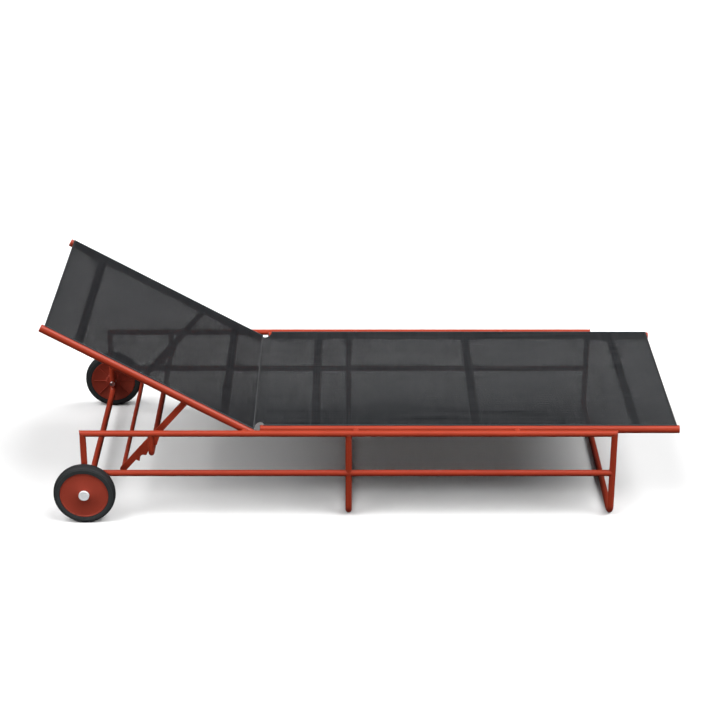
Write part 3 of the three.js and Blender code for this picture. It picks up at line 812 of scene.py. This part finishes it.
def cap(word, centre, axis, body):
    """A round cap with a shallow groove round its slightly domed face, hollow behind."""
    node = f"wheel_cap_{word}"
    low, high = span(node, centre, axis)
    radius = half(node, 2)
    round_r = 1.6 * MM
    bore, face_thick = 11 * MM, 2.5 * MM
    pin_r = 0.4 * MM
    profile = [(bore, low), (radius, low)]
    profile += [(radius - round_r + r, high - round_r + s) for r, s in arc((0, 0), round_r, 0, 90, 8)]
    profile += [(11.4 * MM, high), (10.8 * MM, high - 1.1 * MM), (9.8 * MM, high - 1.1 * MM)]
    profile += [(9.3 * MM, high - 0.3 * MM), (pin_r, high - 0.1 * MM)]
    profile += [(pin_r, high - face_thick), (bore, high - face_thick)]
    shape = Shape()
    turned(shape, centre, axis, profile, 96)
    shape.make(f"cap_moulding_{word}", body, CAP, "cap_plastic", [node])


def axle(word, centre, axis):
    node = f"axle_bolt_{word}"
    low, high = span(node, centre, axis)
    head = 6.5 * MM
    face = low + head
    radius, shank_r = 9.1 * MM, 5 * MM
    rim = [(radius - 0.4 * MM, 0), (radius, 0.5 * MM), (radius, head - 0.9 * MM), (radius - 0.9 * MM, head)]
    rim.append((5.6 * MM, head))
    shape = Shape()
    profile = [(shank_r, face - high), (shank_r, 0)] + rim
    socket_head(shape, centre + axis * face, -axis, profile, 4.2 * MM, 4 * MM)
    shape.make(f"axle_screw_{word}", "base", STEEL, "fastener_steel", [node])
    bore, edge = 5.6 * MM, 0.3 * MM
    for kind, material, slot, body in (
        ("axle_washer", STEEL, "fastener_steel", "base"),
        ("wheel_bush", BLACK, "black_plastic", f"wheel_{word}"),
    ):
        inner_node = f"{kind}_{word}"
        start, end = span(inner_node, centre, axis)
        outer = half(inner_node, 2)
        ring = [(bore, start), (outer - edge, start), (outer, start + edge)]
        ring += [(outer, end - edge), (outer - edge, end), (bore, end)]
        shape = Shape()
        turned(shape, centre, axis, ring, 48)
        shape.make(f"{kind}_ring_{word}", body, material, slot, [inner_node])
    finish_nut(f"axle_nut_{word}")


def finish_nut(node):
    """The nut is hidden under the cap, so its CAD shape only gets its finish and eased edges."""
    piece = frame["nodes"][node]
    piece.data.materials.clear()
    piece.data.materials.append(STEEL)
    weld = piece.modifiers.new("weld", "WELD")
    weld.merge_threshold = 0.01 * MM
    ease = piece.modifiers.new("ease", "BEVEL")
    ease.width = 0.3 * MM
    ease.segments = 2


# ---------------------------------------------------------------- sling
FABRIC_LIFT = 1.0 * MM  # fabric above the tubes' tops
SEAT_PLANE = RAIL_Z + SLING_R + FABRIC_LIFT
HINGE_TO_PLANE = SLING_R + FABRIC_LIFT
VALLEY_REACH = BACK_TAIL
VALLEY = HINGE + BACK_UP * VALLEY_REACH + BACK_OUT * HINGE_TO_PLANE
SHOULDER_X = SEAT_START + 10 * MM  # the seat's fabric leaves its tubes here
SEAT_EDGE_X = SEAT_END - 6 * MM
BACK_EDGE = BACK_TOP - 7 * MM
NOTCH_DEEP = 30 * MM  # how far each side of the fabric is cut back between the tubes
NOTCH_ROUND = 0.45  # below 1 makes the notch fuller than a sine
SAG = 2.5 * MM
CORD_R, CORD_LIFT = 1.7 * MM, 0.5 * MM
SAG_EASE = 150 * MM  # the sag grows over this length from each end
RISE = (Vector((SHOULDER_X, 0, SEAT_PLANE)) - VALLEY).length
SEAT_RUN = RISE + SEAT_EDGE_X - SHOULDER_X
BACK_RUN = BACK_EDGE - VALLEY_REACH


def seat_line(t):
    """The seat fabric's middle line, from the valley at t = 0 up to the seat plane and on to its foot edge."""
    run = t * SEAT_RUN
    if run < RISE:
        share = run / RISE
        eased = share ** 0.6
        x = VALLEY.x + (SHOULDER_X - VALLEY.x) * share
        return Vector((x, 0, VALLEY.z + (SEAT_PLANE - VALLEY.z) * eased))
    return Vector((SHOULDER_X + run - RISE, 0, SEAT_PLANE))


def back_line(t):
    """The backrest fabric's middle line, from the valley up to its top edge."""
    return HINGE + BACK_UP * (VALLEY_REACH + t * BACK_RUN) + BACK_OUT * HINGE_TO_PLANE


def half_width(x):
    """Half the fabric's width: cut back in a round notch between the seat and backrest tubes."""
    share = (x - VALLEY.x) / (SHOULDER_X - VALLEY.x)
    if not 0 < share < 1:
        return SLING_Y
    return SLING_Y - NOTCH_DEEP * math.sin(math.pi * share) ** NOTCH_ROUND


def sling_sheet(name, line, total, out, stations, material, columns=96):
    """A fabric grid of one layer, with the weave attribute in metres across and along."""
    points, faces, weave = [], [], []
    for t in stations:
        place, run = line(t), t * total
        width = half_width(place.x) if line is seat_line else SLING_Y
        held = min(1.0, run / SAG_EASE, (total - run) / SAG_EASE)
        for k in range(columns + 1):
            across = 2 * k / columns - 1
            sag = SAG * held * (1 - across * across)
            points.append(place + Y_AXIS * (across * width) - out * sag)
            weave.append((across * width, run, 0.0))
    row = columns + 1
    for i in range(len(stations) - 1):
        for k in range(columns):
            faces.append((i * row + k, i * row + k + 1, (i + 1) * row + k + 1, (i + 1) * row + k))
    mesh = bpy.data.meshes.new(name)
    mesh.from_pydata(points, [], faces)
    mesh.shade_smooth()
    attribute = mesh.attributes.new("weave", "FLOAT_VECTOR", "POINT")
    attribute.data.foreach_set("vector", [c for w in weave for c in w])
    mesh.materials.append(material)
    piece = bpy.data.objects.new(name, mesh)
    bpy.context.scene.collection.objects.link(piece)
    return piece


def edge_cords():
    """The cord sewn in each long edge, which holds the fabric in the tube's top."""
    for word, side in SIDES:
        for name, body, line in (("seat", "base", seat_line), ("backrest", "backrest", back_line)):
            shape = Shape()
            begin = Vector((SHOULDER_X, 0, SEAT_PLANE)) if name == "seat" else VALLEY.copy()
            finish = line(1.0)
            lift = (Z_AXIS if name == "seat" else BACK_OUT) * CORD_LIFT
            sweep(shape, [p + Y_AXIS * side * SLING_Y + lift for p in (begin, finish)], Y_AXIS, CORD_R, 16)
            yield shape.make(f"edge_cord_{name}_{word}", body, CORD, "sling_mesh", crease=60), name


def hem(name, body, line, total, out, wide=7 * MM):
    """A folded and welded hem across an end edge of the fabric."""
    end = line(1.0)
    start = line(1.0 - wide / total)
    along = (end - start).normalized()
    shape = Shape()
    rings = []
    thick = 0.9 * MM
    for y in (-SLING_Y + 1 * MM, SLING_Y - 1 * MM):
        centre = (start + end) / 2 + Y_AXIS * y
        rings.append(rounded_outline(centre, along, out, wide, 2 * thick, 0.85 * thick, 5))
    shape.rings(rings)
    return shape.make(name, body, HEM, "sling_mesh")


def fold_seam_painted_highlight():
    """The welded strip that joins the two panels of fabric at the fold; its pale colour is a painted highlight
    along the crease.
    """
    shape = Shape()
    rings = []
    wide, thick, corner = 6 * MM, 2 * MM, 0.9 * MM
    end = SLING_Y - 14 * MM
    for y in (-end, end):
        centre = VALLEY + Z_AXIS * 0.4 * MM + Y_AXIS * y
        rings.append(rounded_outline(centre, X_AXIS, Z_AXIS, wide, thick, corner, 5))
    shape.rings(rings)
    return shape.make("fold_seam_painted_highlight", "hinge_bolts", SEAM_PAINTED_HIGHLIGHT, "sling_mesh")


def sling():
    rise_steps, seat_steps, back_steps = 24, 150, 90
    stations = [i / rise_steps * RISE / SEAT_RUN for i in range(rise_steps)]
    stations += [(RISE + (SEAT_RUN - RISE) * i / seat_steps) / SEAT_RUN for i in range(seat_steps + 1)]
    seat = sling_sheet("sling_seat", seat_line, SEAT_RUN, Z_AXIS, stations, SEAT_WEAVE)
    stations = [i / back_steps for i in range(back_steps + 1)]
    back = sling_sheet("sling_back", back_line, BACK_RUN, BACK_OUT, stations, BACK_WEAVE_PAINTED_SHADE)
    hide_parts("seat_sling")
    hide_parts("backrest_sling")
    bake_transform(seat)
    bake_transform(back)
    cords = list(edge_cords())
    seat_with = [piece for piece, name in cords if name == "seat"]
    seat_with += [hem("hem_foot", "base", seat_line, SEAT_RUN, Z_AXIS), fold_seam_painted_highlight()]
    back_with = [piece for piece, name in cords if name == "backrest"]
    back_with.append(hem("hem_top", "backrest", back_line, BACK_RUN, BACK_OUT))


# ---------------------------------------------------------------- studio
def camera():
    data = bpy.data.cameras.new("camera")
    data.sensor_width = 36
    data.lens = 98.59
    data.shift_x = 0.0158
    view = bpy.data.objects.new("camera", data)
    view.location = (-0.0425, -5.8654, 3.0451)
    view.rotation_euler = (math.radians(90 - 24.576), 0, 0)
    bpy.context.scene.collection.objects.link(view)
    bpy.context.scene.camera = view


def soft_light(name, source, energy, spread):
    """A wide, distant light that shines from source towards the origin."""
    data = bpy.data.lights.new(name, "SUN")
    data.energy = energy
    data.angle = math.radians(spread)
    lamp = bpy.data.objects.new(name, data)
    lamp.rotation_euler = Vector(source).to_track_quat("Z", "Y").to_euler()
    bpy.context.scene.collection.objects.link(lamp)
    return lamp


def backdrop(reach):
    """A pale wall round the floor's far edge, which neither shades nor lights the object."""
    below, radius = -0.5, 0.95 * reach
    shape = Shape()
    shape.rings([circle(Vector((0, 0, z)), X_AXIS, Y_AXIS, radius, 64) for z in (below, reach)], caps=False)
    mesh = bpy.data.meshes.new("backdrop")
    mesh.from_pydata(shape.points, [], shape.faces)
    paper = Nodes("backdrop_paper", Emission_Strength=1.0, Specular_IOR_Level=0.0)
    tone = paper.ramp(paper.noise(paper.place(), 0.05), (0.3, (1.0, 1.0, 1.0)), (0.7, (1.1, 1.1, 1.1)))
    mesh.materials.append(paper.output(Base_Color=tone, Emission_Color=tone))
    wall = bpy.data.objects.new("backdrop", mesh)
    bpy.context.scene.collection.objects.link(wall)
    wall.visible_diffuse = False
    wall.visible_glossy = False
    wall.visible_shadow = False
    return wall


def studio():
    """A pale floor and wall, two wide lights from above and two weak low ones."""
    half_floor = 40
    mesh = bpy.data.meshes.new("floor")
    corners = [(x * half_floor, y * half_floor, 0) for x, y in ((-1, -1), (1, -1), (1, 1), (-1, 1))]
    mesh.from_pydata(corners, [], [(0, 1, 2, 3)])
    paper = Nodes("studio_paper", Specular_IOR_Level=0.1)
    tone = paper.ramp(paper.noise(paper.place(), 3.0), (0.3, (0.86, 0.86, 0.86)), (0.7, (0.87, 0.87, 0.87)))
    mesh.materials.append(paper.output(Base_Color=tone, Roughness=0.8))
    floor = bpy.data.objects.new("floor", mesh)
    bpy.context.scene.collection.objects.link(floor)
    floor.visible_glossy = False
    floor.visible_diffuse = False
    backdrop(half_floor)
    world = bpy.data.worlds.new("studio")
    world.use_nodes = True
    world.node_tree.nodes["Background"].inputs["Color"].default_value = (1, 1, 1, 1)
    world.node_tree.nodes["Background"].inputs["Strength"].default_value = 0.03
    bpy.context.scene.world = world
    soft_light("right", (0.7, -0.2, 1.0), 3.85, 50)
    soft_light("left", (-0.7, -0.2, 1.0), 3.35, 50)
    soft_light("front", (0.0, -1.0, 0.1), 0.8, 12).visible_glossy = False
    soft_light("back", (0.0, 1.0, 0.1), 0.35, 12).visible_glossy = False
    bpy.context.scene.view_settings.view_transform = "Standard"


camera()
top_rails()
lower_rails()
u_frames()
frame_welds()
side_tubes()
tube_plugs()
cross_bars()
spacers_and_bolts()
stay()
wheels()
sling()
studio()
